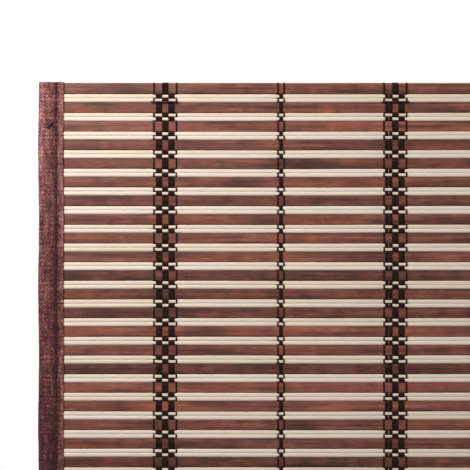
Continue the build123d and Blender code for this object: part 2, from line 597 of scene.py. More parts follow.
@dataclass(frozen=True)
class WornTape(Finish):
    """Plain-woven cotton tape, faded and rubbed pale along its crests, with painted light and shade, darkest
    by the seam.
    """

    deep: Colour = screen(62, 32, 34)
    cloth: Colour = screen(116, 67, 66)
    faded: Colour = screen(192, 136, 129)
    stops: tuple[float, float, float] = (0.05, 0.42, 0.9)
    yarn: float = 0.84 * MM
    # How much paler the weave's crests and darker its hollows: rubbing wear, a painted highlight and painted
    # shade.
    yarn_wear_and_shading: float = 0.15
    streaks: Mottle = Mottle((560.0, 90.0, 1.0), 3.0, 0.6)
    streak_wear: float = 1.1
    flecks: Mottle = Mottle((1300.0, 900.0, 1.0), 2.0, 0.7)
    fleck_wear: float = 1.3
    fleck_height: float = 1.2
    rubs: Mottle = Mottle((80.0, 640.0, 1.0), 2.0, 0.6)
    rub_wear: float = 0.7

    def wire(self, graph: Graph, shader: bpy.types.Node) -> None:
        """A weave on the flat tape, with streaks of wear along it and the piece's own fade and painted
        shading across it.
        """
        flat = graph.flat()
        across, along, _ = graph.split(flat)
        ends, picks = (graph.math("SINE", graph.times(way, math.pi / self.yarn)) for way in (across, along))
        over = graph.times(ends, picks)
        flecks = self.flecks.over(graph, flat)
        wear = graph.add(
            # The tape's fade, with its painted shade, painted highlights and painted falloff of light.
            graph.attribute("fade"),
            graph.swing(self.streaks.over(graph, flat), self.streak_wear),
            graph.swing(flecks, self.fleck_wear),
            graph.swing(self.rubs.over(graph, flat), self.rub_wear),
            # Crests paler and hollows darker: rubbing wear, with a painted highlight on the crests and
            # painted shade in the hollows.
            graph.times(over, self.yarn_wear_and_shading),
        )
        height = graph.add(over, graph.times(flecks, self.fleck_height))
        graph.feed(shader, {
            "Base Color": graph.ramp(wear, list(zip(self.stops, (self.deep, self.cloth, self.faded)))),
            "Roughness": 0.88,
            "Sheen Weight": 0.08,
            "Specular IOR Level": 0.15,
            "Normal": graph.bump(height, 0.6, 0.18 * MM),
        })


@dataclass(frozen=True)
class PlanedTimber(Finish):
    """Planed softwood, clear sealed."""

    early: Colour = screen(205, 170, 126)
    late: Patch = Patch(0.5, 0.8, 0.35, screen(166, 118, 76))
    grain: tuple[float, float, float] = (2.0, 5.0, 160.0)
    pith: tuple[float, float, float] = (0.0, 0.05, 0.031)
    rings: float = 420.0
    ring_wander: float = 3.0
    ring_edge: float = 2.5
    ring_share: float = 0.8
    roughness: tuple[float, float] = (0.42, 0.62)

    def wire(self, graph: Graph, shader: bpy.types.Node) -> None:
        """Growth rings cut lengthwise, so that the ends show them as arcs, with fine pores."""
        grain = long_grain(graph, *self.grain)
        _, depth, height = graph.split(graph.shift(graph.place(), self.pith))
        squares = graph.add(graph.math("POWER", depth, 2.0), graph.math("POWER", height, 2.0))
        rings = graph.times(graph.math("SQRT", squares), self.rings)
        rings = graph.add(rings, graph.times(grain["Patches"], self.ring_wander))
        ring = graph.math("POWER", graph.math("FRACT", rings), self.ring_edge)
        colour = graph.mix(graph.times(ring, self.ring_share), self.early, self.late.colour)
        graph.feed(shader, {
            "Base Color": self.late.over(graph, colour, grain["Fibres"]),
            "Roughness": graph.remap(grain["Fibres"], *WHOLE, *self.roughness),
            "Normal": graph.bump(graph.add(ring, grain["Fibres"]), 0.2, 0.2 * MM),
        })


@dataclass(frozen=True)
class Metal(Finish):
    """Handled metal: zinc plate, turned brass or blackened wire."""

    bright: Colour = screen(200, 202, 204)
    dull: Colour = screen(150, 153, 156)
    metallic: float = 1.0
    roughness: tuple[float, float] = (0.25, 0.4)
    dulling: float = 0.16

    def wire(self, graph: Graph, shader: bpy.types.Node) -> None:
        """Dull clouds in the colour and the gloss, with hairline scratches."""
        scuffs = SCUFFS.place(graph, {"Vector": graph.place()})
        share = graph.remap(scuffs["Clouds"], 0.35, 0.7)
        rough = graph.remap(scuffs["Hairs"], *MIDDLE, *self.roughness)
        graph.feed(shader, {
            "Base Color": graph.mix(share, self.bright, self.dull),
            "Roughness": graph.add(graph.times(share, self.dulling), rough),
            "Metallic": self.metallic,
            "Normal": graph.bump(scuffs["Hairs"], 0.12, 0.05 * MM),
        })


SLAT_FINISH = LacqueredBamboo("lacquered_bamboo")
REED_FINISH = PeeledReed("peeled_reed")
WARP_FINISH = Thread("warp_cotton")
SEAM_LINT = Patch(0.45, 0.8, 0.8, screen(66, 34, 34))
SEAM_FINISH = Thread("seam_cotton", screen(34, 14, 16), SEAM_LINT, turns=4.0)
TAPE_FINISH = WornTape("worn_tape")
TIMBER_FINISH = PlanedTimber("planed_timber")
STAPLE_FINISH = Metal("blackened_wire", screen(52, 44, 42), screen(30, 26, 25), 0.6, (0.4, 0.55))
ZINC_FINISH = Metal("zinc_plate")
BRASS_FINISH = Metal("turned_brass", screen(222, 184, 104), screen(176, 138, 74), roughness=(0.21, 0.36))


# Meshes

def settle(made: bmesh.types.BMesh, title: str) -> bpy.types.Mesh:
    """A mesh with all that a bmesh holds. The bmesh is freed."""
    mesh = bpy.data.meshes.new(title)
    made.to_mesh(mesh)
    made.free()
    return mesh


def put(title: str, data: bpy.types.ID) -> bpy.types.Object:
    """An object with this data, linked into the scene."""
    piece = bpy.data.objects.new(title, data)
    bpy.context.scene.collection.objects.link(piece)
    return piece


class Tube:
    """A tube rolled from a flat grid, with u round it and v along it. Long pieces are bent copies of it."""

    def __init__(self, title: str, sides: int, steps: int, run: float = 1.0) -> None:
        """Roll the grid and close its seam and ends.

        Args:
            title: The template's name.
            sides: Faces round the tube.
            steps: Faces along it.
            run: How far v runs along it, which sets the scale of its thread.
        """
        made = bmesh.new()
        made.loops.layers.uv.new("UVMap")
        bmesh.ops.create_grid(made, x_segments=sides, y_segments=steps, size=0.5, calc_uvs=True)
        turn, step, _, _ = (made.verts.layers.float.new(name) for name in ("turn", "step", "tone", "rim"))
        flat = made.loops.layers.uv.active
        for face in made.faces:
            for loop in face.loops:
                loop[flat].uv.y *= run
        for vert in made.verts:
            vert[turn] = vert.co.x + 0.5
            vert[step] = round((vert.co.y + 0.5) * steps)
            angle = vert[turn] * math.tau
            vert.co = (math.cos(angle), math.sin(angle), vert[step])
        bmesh.ops.remove_doubles(made, verts=made.verts, dist=TEMPLATE_WELD)
        bmesh.ops.holes_fill(made, edges=[edge for edge in made.edges if edge.is_boundary], sides=0)
        self.mesh = settle(made, title)

    def stamp(self, made: bmesh.types.BMesh, place: Place, tone: float) -> None:
        """Add one bent copy.

        Args:
            made: The mesh that it is added to.
            place: Where a point goes, from its turn round the tube and its step along it.
            tone: The copy's own value, which its finish reads.
        """
        start = len(made.verts)
        made.from_mesh(self.mesh)
        made.verts.ensure_lookup_table()
        turn, step, own, rim = (made.verts.layers.float[name] for name in ("turn", "step", "tone", "rim"))
        for vert in made.verts[start:]:
            angle = vert[turn] * math.tau
            # How far a point lies towards the tube's sides, which the slats and reeds read for their painted
            # edge shade.
            vert[rim] = abs(math.sin(angle))
            vert[own] = tone
            vert.co = place(angle, int(vert[step]))

    def drop(self) -> None:
        """Remove the template, once all its copies are made."""
        bpy.data.meshes.remove(self.mesh)

    def copies(self, places: Iterable[Copy]) -> bmesh.types.BMesh:
        """Bend all copies into one mesh and remove the template.

        Args:
            places: The placing function and the tone of each copy.

        Returns:
            The mesh.
        """
        made = bmesh.new()
        for place, tone in places:
            self.stamp(made, place, tone)
        self.drop()
        return made


def heading(route: list[tuple[float, ...]], step: int) -> tuple[float, float]:
    """The way a route goes at a step, one long, from the first two values of each of its steps."""
    before, after = route[max(step - 1, 0)], route[min(step + 1, len(route) - 1)]
    run = Vector((after[0] - before[0], after[1] - before[1], 0.0)).normalized()
    return run.x, run.y


def finish_piece(
    made: bmesh.types.BMesh, title: str, finish: Finish, slot: Slot, stands_for: tuple[str, ...] = (),
) -> bpy.types.Object:
    """Turn a bmesh into a piece of the blind.

    Args:
        made: The mesh, which is freed.
        title: The piece's name.
        finish: Its finish.
        slot: The record's slot that it belongs to.
        stands_for: The CAD nodes that it replaces.

    Returns:
        The piece, riding on the hanging body.
    """
    bmesh.ops.recalc_face_normals(made, faces=made.faces)
    for face in made.faces:
        face.smooth = True
    piece = put(title, settle(made, title))
    piece.data.materials.append(finish.material())
    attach(piece, HANGING_BODY)
    if stands_for:
        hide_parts(*stands_for)
    LOG.info("%s: %d faces", title, len(piece.data.polygons))
    return piece


@dataclass(frozen=True)
class RowPlace:
    """One row of the mat: what it is, its middle height, and half of its height and of its depth."""

    kind: Row
    middle: float
    half_height: float
    half_depth: float


@dataclass(frozen=True)
class WarpPlace:
    """One group of warps: its number, its middle along the width and half of its width."""

    number: int
    middle: float
    half_width: float


@dataclass
class Weave:
    """The mat's rows and its columns of warps, worked out from the frame."""

    repeats: int = 84
    warp_groups: int = 9
    slat_width: float = 5.3 * MM
    slat_thickness: float = 1.3 * MM
    row_gap: float = 0.3 * MM
    thread: float = 0.6 * MM
    unevenness: Ripple = Ripple(0.2 * MM, 8, 24, 6.0)
    rows: list[RowPlace] = field(init=False)
    warps: list[WarpPlace] = field(init=False)

    def __post_init__(self) -> None:
        """Read the frame's boxes and lay the rows and the warps out in them."""
        low, high = corners("reed_mat")
        self.left, self.right = low.x, high.x
        self.bottom, self.top = low.z, high.z
        self.middle = (low.y + high.y) / 2
        self.reed = (high.y - low.y) / 2
        self.pitch = (self.top - self.bottom - self.slat_width) / self.repeats
        half = self.slat_width / 2
        self.rows = []
        for index in range(self.repeats + 1):
            slat_top = self.top - index * self.pitch
            self.rows.append(RowPlace(Row.SLAT, slat_top - half, half, self.slat_thickness / 2))
            if index < self.repeats:
                reeds_top = slat_top - self.slat_width - self.row_gap
                for kind, radii in ((Row.UPPER_REED, 1), (Row.LOWER_REED, 3)):
                    self.rows.append(RowPlace(kind, reeds_top - radii * self.reed, self.reed, self.reed))
        self.warps = []
        for number in range(1, self.warp_groups + 1):
            start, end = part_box(f"warp_{number}")
            self.warps.append(WarpPlace(number, (start[0] + end[0]) / 2, (end[0] - start[0]) / 2))

    def sway(self, x: float, height: float) -> float:
        """How far the rows near a height stand above their even places, which neighbours share."""
        return self.unevenness.at(x, height)

    def is_wide(self, warp: WarpPlace) -> bool:
        """Whether a group is one of the wide ones."""
        return warp.half_width > 2 * min(place.half_width for place in self.warps)


@dataclass
class Slats:
    """The flat split slats, a bar for each row, a little uneven in width and line."""

    seed: int = 11
    sides: int = 12
    steps: int = 26
    squareness: float = 4.5
    lap: float = 0.16 * MM
    lap_shift: float = 0.1 * MM
    spread: Ripple = Ripple(0.06 * MM, 11, 3.7, 2.0)
    bow: Ripple = Ripple(0.07 * MM, 7, 3.7, 5.0)
    wander: Ripple = Ripple(0.04 * MM, 9, 3.7, 8.0)

    def build(self, weave: Weave) -> bpy.types.Object:
        """Lay every slat.

        Args:
            weave: The rows.

        Returns:
            One piece with all the slats.
        """
        rng = random.Random(self.seed)
        rows = enumerate(row for row in weave.rows if row.kind is Row.SLAT)
        tube = Tube("slat_template", self.sides, self.steps)
        made = tube.copies((self.bend(weave, row, index), rng.random()) for index, row in rows)
        piece = finish_piece(made, "slats", SLAT_FINISH, Slot.BAMBOO, ("reed_mat",))
        piece.modifiers.new("flat_faces", "WEIGHTED_NORMAL")
        return piece

    def bend(self, weave: Weave, row: RowPlace, index: int) -> Place:
        """Where the points of one slat go.

        Args:
            weave: The rows.
            row: The slat's row.
            index: Its number, which sets its unevenness.

        Returns:
            The placing function.
        """
        length = weave.right - weave.left

        def place(angle: float, step: int) -> Vector:
            """One point."""
            x = weave.left + length * step / self.steps
            half_height = row.half_height + self.lap + self.spread.at(x, index)
            y = row.half_depth * bulge(math.cos(angle), self.squareness) + self.bow.at(x, index)
            z = half_height * bulge(math.sin(angle), self.squareness) + self.wander.at(x, index)
            height = row.middle - self.lap_shift + weave.sway(x, row.middle)
            return Vector((x, weave.middle + y, height + z))

        return place


@dataclass
class Reeds:
    """The peeled reeds, in pairs, pinched where the warps pass between them."""

    seed: int = 23
    sides: int = 8
    squareness: float = 3.5
    spread: Ripple = Ripple(0.07, 36, 2.3, 1.0)
    proud: float = 0.15 * MM
    stops_between: int = 4
    pinch: float = 0.3
    pinch_run: float = 0.5 * MM
    pinch_inset: float = 0.7 * MM
    wander: Ripple = Ripple(0.08 * MM, 9, 3.1, 8.0)

    def stations(self, weave: Weave) -> list[tuple[float, float]]:
        """Places along a reed and how much it is pinched at each.

        Args:
            weave: The warps.

        Returns:
            Pairs of a place and a share of the pinch, from left to right.
        """
        found = [(weave.left, 0.0)]
        for warp in weave.warps:
            start, end = found[-1][0], warp.middle - warp.half_width - self.pinch_run
            for stop in range(1, self.stops_between):
                found.append((start + (end - start) * stop / self.stops_between, 0.0))
            for side in (-1, 1):
                outer = (warp.middle + side * (warp.half_width + self.pinch_run), 0.0)
                inner = (warp.middle + side * (warp.half_width - self.pinch_inset), 1.0)
                found.extend((outer, inner) if side < 0 else (inner, outer))
        found.append(((found[-1][0] + weave.right) / 2, 0.0))
        found.append((weave.right, 0.0))
        return found

    def build(self, weave: Weave) -> bpy.types.Object:
        """Lay every reed.

        Args:
            weave: The rows and warps.

        Returns:
            One piece with all the reeds.
        """
        rng = random.Random(self.seed)
        stations = self.stations(weave)
        rows = enumerate(row for row in weave.rows if row.kind is not Row.SLAT)
        tube = Tube("reed_template", self.sides, len(stations) - 1)
        made = tube.copies((self.bend(weave, row, index, stations), rng.random()) for index, row in rows)
        return finish_piece(made, "reeds", REED_FINISH, Slot.BAMBOO, ("reed_mat",))

    def bend(self, weave: Weave, row: RowPlace, index: int, stations: list[tuple[float, float]]) -> Place:
        """Where the points of one reed go.

        Args:
            weave: The rows.
            row: The reed's row.
            index: Its number, which sets its unevenness.
            stations: Its places along the width and their pinch.

        Returns:
            The placing function.
        """
        half_side = math.pi / self.sides

        def place(angle: float, step: int) -> Vector:
            """One point."""
            x, pinched = stations[step]
            radius = row.half_height * (1 + self.spread.at(x, index)) + self.proud
            y = row.half_depth * bulge(math.cos(angle + half_side), self.squareness)
            z = radius * (1 - self.pinch * pinched) * bulge(math.sin(angle + half_side), self.squareness)
            drift = self.wander.at(x, index // 2) + weave.sway(x, row.middle)
            return Vector((x, weave.middle + y, row.middle + z + drift))

        return place


@dataclass(frozen=True)
class Strand:
    """One strand of a group: its place in it, its width, and the rows that it passes in front of."""

    offset: float
    width: float
    lead: Lead


@dataclass
class Warps:
    """The woven warps. A wide group is a pair of strands between two double pairs and two thin ones.

    Between two rows the strands of a group cross, squeezed together, and a dark tie fills the gap across the
    whole
    group: partly the crossing strands, partly a dark fill standing in for the shade between and beyond them.
    """

    seed: int = 37
    sides: int = 5
    tie_sides: int = 4
    tie_run: float = 0.015
    tie_height: float = 0.27 * MM
    tie_depth: float = 0.5 * MM
    # How far the tie's dark fill, standing in for shade, reaches past the outer strands.
    shade_fill_overhang: float = 0.28 * MM
    tie_inset: float = 0.1 * MM
    pair_width: float = 1.95 * MM
    single_width: float = 0.92 * MM
    narrow_width: float = 1.12 * MM
    slat_shoulder: tuple[float, float] = (0.9, 0.08 * MM)
    reed_shoulder: tuple[float, float] = (0.7, 0.2 * MM)
    shoulder_width: float = 0.95
    tail_width: float = 0.9
    drift: Ripple = Ripple(0.22 * MM, 14, 5.1)
    jitter: Ripple = Ripple(0.07 * MM, 310)
    spread: Ripple = Ripple(0.08, 420, lane=4.0)
    strand_seeds: float = 90
    tail: float = 3.2 * MM
    inner_offset: float = 0.76 * MM
    outer_offsets: tuple[float, ...] = mm(2.42, 3.9)
    parted_offsets: tuple[float, ...] = mm(2.34, 4.38)
    single_offset: float = 5.75 * MM
    narrow_offset: float = 0.46 * MM
    narrow_single_offset: float = 1.54 * MM
    off_line: tuple[float, ...] = (0.3, 0.45, -0.2, 0.15, -0.3, 0.2, 0.35, -0.1, -0.3)
    parted: tuple[tuple[int, int], ...] = ((3, -1), (5, 1), (7, 1))

    def strands(self, wide: bool, number: int) -> list[Strand]:
        """The strands of one group.

        Args:
            wide: Whether the group is a wide one.
            number: The group's number, which says whether an outer pair of it has come apart a little.

        Returns:
            Its strands, from the middle out.
        """
        found = []
        for side in (-1, 1):
            if wide:
                outer = self.parted_offsets if (number, side) in self.parted else self.outer_offsets
                found.append(Strand(side * self.inner_offset, self.pair_width, Lead.EVEN))
                found.extend(Strand(side * offset, self.pair_width, Lead.ODD) for offset in outer)
                found.append(Strand(side * self.single_offset, self.single_width, Lead.EVEN))
            else:
                found.append(Strand(side * self.narrow_offset, self.narrow_width, Lead.ODD))
                found.append(Strand(side * self.narrow_single_offset, self.single_width, Lead.EVEN))
        return found

    def route(self, weave: Weave, lead: Lead) -> Route:
        """The line that a strand follows over and under the rows.

        Args:
            weave: The rows.
            lead: The rows that it passes in front of.

        Returns:
            Depth from the mat's middle, height and share of the full width at each step.
        """
        half = weave.thread / 2
        steps: Route = []
        for number, row in enumerate(weave.rows):
            side = -1 if (number % 2 == 0) == (lead is Lead.EVEN) else 1
            rest = row.half_depth + half
            shoulder, dip = self.slat_shoulder if row.kind is Row.SLAT else self.reed_shoulder
            for up in (1, 0, -1):
                depth, share = (rest - dip, self.shoulder_width) if up else (rest, 1.0)
                steps.append((side * depth, row.middle + up * shoulder * row.half_height, share))
        if lead is Lead.EVEN:
            steps = self.turn_over(weave, weave.top, half, 1) + steps
            steps.extend(reversed(self.turn_over(weave, weave.bottom, half, -1)))
        return steps

    def turn_over(self, weave: Weave, edge: float, half: float, up: int) -> Route:
        """The tail of a strand that turns over the mat's edge and ends behind it.

        Args:
            weave: The rows.
            edge: The height of the edge.
            half: Half of the strand's thickness.
            up: 1 at the top edge and -1 at the bottom one.

        Returns:
            The tail's steps, from its end to the front of the edge.
        """
        behind = weave.slat_thickness / 2 + half
        return [
            (behind, edge - up * self.tail, self.tail_width),
            (behind, edge - up * half, 1.0),
            (0.0, edge + up * half, 1.0),
            (-behind, edge - up * half, 1.0),
        ]

    def build(self, weave: Weave) -> list[bpy.types.Object]:
        """Weave every group.

        Args:
            weave: The rows and warps.

        Returns:
            One piece for each group.
        """
        rng = random.Random(self.seed)
        routes = {lead: self.route(weave, lead) for lead in Lead}
        tubes = {lead: Tube(lead.name.lower(), self.sides, len(route) - 1) for lead, route in routes.items()}
        # The ties: the crossing strands, and a dark fill standing in for the shade in the gaps between rows.
        tie = Tube("tie", self.tie_sides, 1, self.tie_run)
        pieces = []
        for warp in weave.warps:
            made = bmesh.new()
            for strand in self.strands(weave.is_wide(warp), warp.number):
                seed = rng.random() * self.strand_seeds
                line = self.bend(weave, warp, strand, routes[strand.lead], seed)
                tubes[strand.lead].stamp(made, line, rng.random())
            for upper, lower in zip(weave.rows, weave.rows[1:]):
                tie.stamp(made, self.cross(weave, warp, upper, lower), rng.random())
            title, stands_for = f"warp_threads_{warp.number}", (f"warp_{warp.number}",)
            pieces.append(finish_piece(made, title, WARP_FINISH, Slot.WARP, stands_for))
        for tube in (*tubes.values(), tie):
            tube.drop()
        return pieces

    def line(self, warp: WarpPlace, height: float) -> float:
        """Where the middle of a group runs at a height."""
        return warp.middle + self.off_line[warp.number - 1] * MM + self.drift.at(height, warp.number)

    def cross(self, weave: Weave, warp: WarpPlace, upper: RowPlace, lower: RowPlace) -> Place:
        """Where the points of one tie go: the crossing strands, and a dark fill standing in for shade round
        them.

        Args:
            weave: The rows.
            warp: The tie's group.
            upper: The row above it.
            lower: The row below it.

        Returns:
            The placing function.
        """
        strands = self.strands(weave.is_wide(warp), warp.number)
        # The tie reaches past the outer strands as a dark fill standing in for shade in the gap.
        reach = max(abs(strand.offset) + strand.width / 2 for strand in strands) + self.shade_fill_overhang
        if upper.kind is Row.SLAT:
            height = lower.middle + lower.half_height - self.tie_inset
        elif lower.kind is Row.SLAT:
            height = upper.middle - upper.half_height + self.tie_inset
        else:
            height = (upper.middle + lower.middle) / 2

        def place(angle: float, step: int) -> Vector:
            """One point."""
            x = self.line(warp, height) + reach * (2 * step - 1)
            y = weave.middle + self.tie_depth * math.cos(angle)
            return Vector((x, y, height + weave.sway(x, height) + self.tie_height * math.sin(angle)))

        return place

    def bend(self, weave: Weave, warp: WarpPlace, strand: Strand, route: Route, seed: float) -> Place:
        """Where the points of one strand go.

        Args:
            weave: The rows.
            warp: The strand's group.
            strand: The strand.
            route: The line that it follows.
            seed: Its own unevenness.

        Returns:
            The placing function.
        """
        half = weave.thread / 2

        def place(angle: float, step: int) -> Vector:
            """One point, on a flat oval square to the route, with its flat side to the front."""
            turned = angle + QUARTER_TURN
            depth, height, share = route[step]
            back, up = heading(route, step)
            out = Vector((0.0, -up, back))
            x = self.line(warp, height) + strand.offset + self.jitter.at(height, seed)
            middle = Vector((x, weave.middle + depth, height + weave.sway(x, height)))
            wide = strand.width / 2 * share * (1 + self.spread.at(height, seed))
            return middle + Vector((wide * math.cos(turned), 0.0, 0.0)) + out * (half * math.sin(turned))

        return place


@dataclass(frozen=True)
class Level:
    """A row of the tape's points: its height, share of the sink and crease sharpness, the last two also
    painted shade.
    """

    height: float
    sunk: float
    crease_shade: float


# How the tape lies on each kind of row: the share of its half height, how far sunk and how sharply creased,
# the last two also setting painted shade
LIES = {
    Row.SLAT: ((0.82, 1.0, 0.0), (0.0, 0.9, 0.0), (-0.82, 1.0, 0.0)),
    Row.UPPER_REED: (
        (1.1, 0.9, 0.7), (0.6, 0.3, 0.0), (0.0, 0.0, 0.0), (-0.7, 0.25, 0.0), (-1.0, 0.8, 1.0),
    ),
    Row.LOWER_REED: ((0.7, 0.25, 0.0), (0.0, 0.0, 0.0), (-0.75, 0.45, 0.0)),
}


@dataclass(frozen=True)
class Snag:
    """A small torn place that slants up across the tape, where dark fibres are pulled up into loops."""

    seed: int = 71
    inset: float = 6.2 * MM
    drop: float = 22.1 * MM
    spread: float = 1.7 * MM
    slant: float = 0.7
    fibres: int = 9
    stray: float = 0.3
    fan: float = 0.6
    reaches: tuple[float, float] = (0.8, 2.0)
    lifts: tuple[float, float] = (0.4, 1.0)
    lift: float = 0.5 * MM
    radius: float = 0.15 * MM
    curl: float = 0.25 * MM
    curl_turn: float = 5
    sides: int = 4
    steps: int = 8

    def build(self, binding: "EdgeBinding") -> bpy.types.Object:
        """Loop the fibres up out of the tape's face.

        Args:
            binding: The binding that is worn.

        Returns:
            One piece with all the fibres.
        """
        rng = random.Random(self.seed)
        along = Vector((math.cos(self.slant), 0, math.sin(self.slant)))
        loops = []
        for index in range(self.fibres):
            share = index / (self.fibres - 1) * 2 - 1
            stray = Vector((rng.uniform(-self.stray, self.stray), 0, rng.uniform(-self.stray, self.stray)))
            turn = self.slant + rng.uniform(-self.fan, self.fan)
            reach = Vector((math.cos(turn), 0, math.sin(turn))) * rng.uniform(*self.reaches) * MM
            lift = rng.uniform(*self.lifts) * self.lift
            start = along * share * self.spread + stray * MM
            loops.append((self.loop(binding, start, reach, lift), rng.random()))
        made = Tube("fibre_template", self.sides, self.steps).copies(loops)
        return finish_piece(made, f"{binding.node}_fibres", SEAM_FINISH, Slot.CLOTH)

    def loop(self, binding: "EdgeBinding", start: Vector, reach: Vector, lift: float) -> Place:
        """Where the points of one fibre go.

        Args:
            binding: The binding that is worn.
            start: Where it leaves the tape, from the worn place's middle.
            reach: How far off it comes down again.
            lift: How high it stands.

        Returns:
            The placing function.
        """
        face = binding.middle - binding.half_depth + binding.sink * 0.5
        middle = Vector((binding.edge - binding.side * self.inset, face, binding.top - self.drop)) + start
        across = Vector((0, 1, 0)).cross(reach).normalized()

        def place(angle: float, step: int) -> Vector:
            """One point round the fibre."""
            share = step / self.steps
            curl = across * (self.curl * math.sin(share * self.curl_turn))
            bow = middle + reach * (share - 0.5) + curl + Vector((0, -lift * math.sin(math.pi * share), 0))
            ring = across * (self.radius * math.cos(angle))
            return bow + ring + Vector((0, self.radius * math.sin(angle), 0))

        return place


@dataclass(frozen=True)
class FadeAndShading:
    """How far the tape is faded at its parts, from 0 to 1, with painted light and shade laid into the same
    value, and how wide the painted shade beside the seam is.

    It falls from the fold to the seam and rises again to the hem, the rise being wear and a painted
    highlight.
    Painted shade darkens it in the seam's groove, in creases, where it sinks and round the snag. Lower down
    a painted falloff of light darkens it, most at the fold.
    """

    hidden: float = 0.25
    at_fold: float = 0.63
    fall: float = 0.3
    # Painted falloff of light lower down, most at the fold.
    low_fold: float = 0.22
    low_fold_run: float = 2 * MM
    # Painted shade in the seam's groove, on the fold's side.
    seam_groove_shade: float = 0.2
    seam_run: float = 1.1 * MM
    # Paler towards the hem's edge: wear and a painted highlight on the raised hem.
    at_hem: float = 0.4
    rise: float = 0.34
    # Painted shade in the seam's groove, on the hem's side.
    hem_groove_shade: float = 0.26
    hem_run: float = 0.5 * MM
    cloud: Ripple = Ripple(0.14, 90, 16, 3.0)
    # Darker round the snag: the torn place and a painted shadow under its lifted fibres.
    torn_and_shadow: float = 0.45
    # Painted shade along the creases.
    crease_shade: float = 0.2
    crease_shade_spread: Ripple = Ripple(0.12, 300, 60)
    # Painted falloff of light: darker lower down.
    low: float = 0.2
    # Painted shade where the tape sinks between the rows.
    sunk: float = 0.06


@dataclass
class EdgeBinding:
    """A cotton tape folded round one edge of the mat, its inner edges turned under and sewn through."""

    side: int
    node: str
    snag: Snag | None = None
    seed: int = 51
    fade_and_shading: FadeAndShading = FadeAndShading()
    ply: float = 0.28 * MM
    hem_back: float = 0.15 * MM
    hem_under: tuple[float, ...] = mm(9.2, 11.0, 12.5)
    front: tuple[float, ...] = mm(12.6, 12.0, 11.0, 9.95, 9.4, 8.85, 7.4, 5.8, 4.2, 2.6, 1.3)
    back: tuple[float, ...] = mm(1.3, 4.2, 7.4, 8.85, 9.4, 9.95, 12.6)
    fold: tuple[tuple[float, float], ...] = ((0.5 * MM, 0.86), (0.1 * MM, 0.45), (0.0, 0.0))
    end_sunk: float = 0.6
    seam: float = 9.4 * MM
    groove: float = 0.26 * MM
    groove_width: float = 0.5 * MM
    pull: float = 0.2
    slack: float = 0.18 * MM
    slack_waves: tuple[float, float, float] = (160, 55, 3.0)
    hem_slack: float = 0.3
    hem_sink: float = 0.45
    fold_run: float = 3 * MM
    sink: float = 0.3 * MM
    # Where the painted falloff of light lower down starts, and how far it runs.
    falloff_start: float = 35 * MM
    falloff_run: float = 120 * MM
    edge_wave: float = 0.22 * MM
    edge_wobble: Ripple = Ripple(0.6, 110, 4.0)
    wave_length: float = 70.4 * MM
    wave_start: float = 1.2
    stitch_pitch: float = 3.1 * MM
    stitch_length: float = 2.75 * MM
    stitch_radius: float = 0.17 * MM
    stitch_flatness: float = 1.25
    stitch_taper: float = 0.35
    stitch_dive: float = 0.3 * MM
    stitch_sunk: float = 0.9
    stitch_sink: float = 0.25
    stitch_stray: float = 0.1
    stitch_sides: int = 5
    stitch_steps: int = 4

    def __post_init__(self) -> None:
        """Read the binding's box."""
        low, high = corners(self.node)
        self.edge = low.x if self.side < 0 else high.x
        self.width = high.x - low.x - self.hem_back
        self.bottom, self.top = low.z, high.z
        self.middle = (low.y + high.y) / 2
        self.half_depth = (high.y - low.y) / 2

    def columns(self) -> list[tuple[float, float, bool]]:
        """The tape's section, from one turned edge round the mat's edge to the other.

        Returns:
            Distance in from the outer edge, distance out from the mat's middle, front positive, and whether
            the point is on the face that shows.
        """
        full = self.half_depth
        under = full - 2 * self.ply
        found = [(inset, under, False) for inset in self.hem_under]
        found.append((self.width, full - self.ply, True))
        found.extend((inset, full, True) for inset in self.front)
        found.extend((inset, full * share, True) for inset, share in self.fold)
        found.extend((inset, -full * share, True) for inset, share in reversed(self.fold[:-1]))
        found.extend((inset, -full, True) for inset in self.back)
        found.append((self.width, self.ply - full, True))
        found.extend((inset, -under, False) for inset in reversed(self.hem_under[1:]))
        return found

    def levels(self, weave: Weave) -> list[Level]:
        """The heights of the tape's rows of points, and how it lies at each.

        Args:
            weave: The rows.

        Returns:
            The levels, from the top down.
        """
        found = [Level(self.top, self.end_sunk, 0.0)]
        for row in weave.rows:
            for up, sunk, crease_shade in LIES[row.kind]:
                found.append(Level(row.middle + up * row.half_height, sunk, crease_shade))
        found.append(Level(self.bottom, self.end_sunk, 0.0))
        return found

    def relief(self, inset: float, height: float, sunk: float) -> float:
        """How far the tape lies below its full thickness at a point.

        Args:
            inset: Distance in from the outer edge.
            height: The point's height.
            sunk: The sink share of its row.

        Returns:
            The depth of the relief.
        """
        slack, sink = (1.0, 1.0) if inset < self.seam else (self.hem_slack, self.hem_sink)
        along, across, lane = self.slack_waves
        swell = 0.5 + 0.5 * wave(inset * along, height * across, self.side * lane)
        pull = 1 - self.pull + self.pull * math.cos(math.tau * height / self.stitch_pitch)
        groove = hump(inset - self.seam, self.groove_width) * self.groove * pull
        lie = self.sink * sunk + self.slack * swell * slack
        return groove + min(1.0, inset / self.fold_run) * sink * lie

    def fade(self, inset: float, level: Level, shows: bool) -> float:
        """How faded the tape is at a point, with painted light and shade in the same value: wear fades its
        fold, wear and a painted highlight pale its turned edge, a painted falloff of light darkens it lower
        down, and painted shade darkens the seam's groove, its creases, where it sinks and round the snag.

        Args:
            inset: Distance in from the outer edge.
            level: The row of points that it is in.
            shows: Whether the point is on the face that shows.

        Returns:
            The fade with its painted light and shade, from 0 to 1.
        """
        fade_and_shading = self.fade_and_shading
        if not shows:
            return fade_and_shading.hidden
        drop = self.top - level.height
        # How far the point lies into the painted falloff of light lower down.
        low = min(1.0, max(0.0, (drop - self.falloff_start) / self.falloff_run))
        if inset < self.seam:
            fade = fade_and_shading.at_fold - fade_and_shading.fall * inset / self.seam
            # Painted falloff of light lower down, most at the fold.
            fade -= fade_and_shading.low_fold * low * math.exp(-inset / fade_and_shading.low_fold_run)
